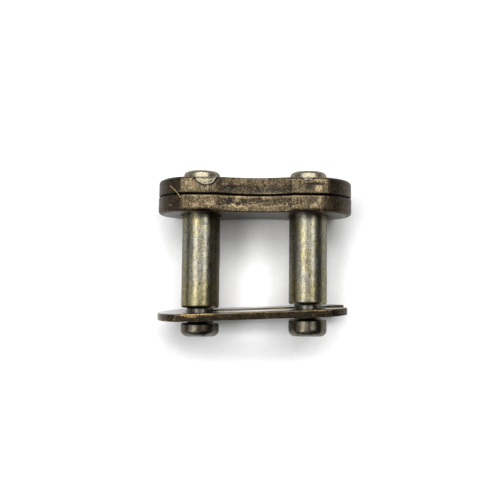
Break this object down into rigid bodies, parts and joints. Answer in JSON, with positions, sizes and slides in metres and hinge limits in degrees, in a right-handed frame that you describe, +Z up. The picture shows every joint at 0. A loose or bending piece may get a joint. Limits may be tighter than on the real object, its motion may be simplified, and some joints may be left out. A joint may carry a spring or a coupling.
{
  "type": "chain connecting link",
  "caption": "Spring-clip connecting link for a roller chain: riveted pin plate with grooved pins, a sliding cover plate and a slotted spring clip.",
  "frame": {"origin": "on the surface that the link lies on, midway between the two pins and midway along the longer pin", "axes": "+X along the pitch, from the left pin to the right pin; +Y along the pins, from their free ends to the rivet heads; +Z up, across the plates' height"},
  "size_m": [0.0228, 0.0196, 0.0094],
  "materials": {
    "plate_steel": "dark oxidised steel with tan rub marks and black pits",
    "pin_steel": "satin ground steel, olive tinge with fine dark specks",
    "clip_steel": "dark tempered spring steel, worn bright along the edges"
  },
  "bodies": {
    "link": {"pin_plate": "plate_steel", "left_pin": "pin_steel", "right_pin": "pin_steel", "spring_clip": "clip_steel"},
    "cover": {"cover_plate": "plate_steel"}
  },
  "joints": [
    {"name": "cover_slide", "type": "slide", "parent": "link", "child": "cover", "axis": [0, -1, 0], "range_m": [0, 0.0102]}
  ]
}
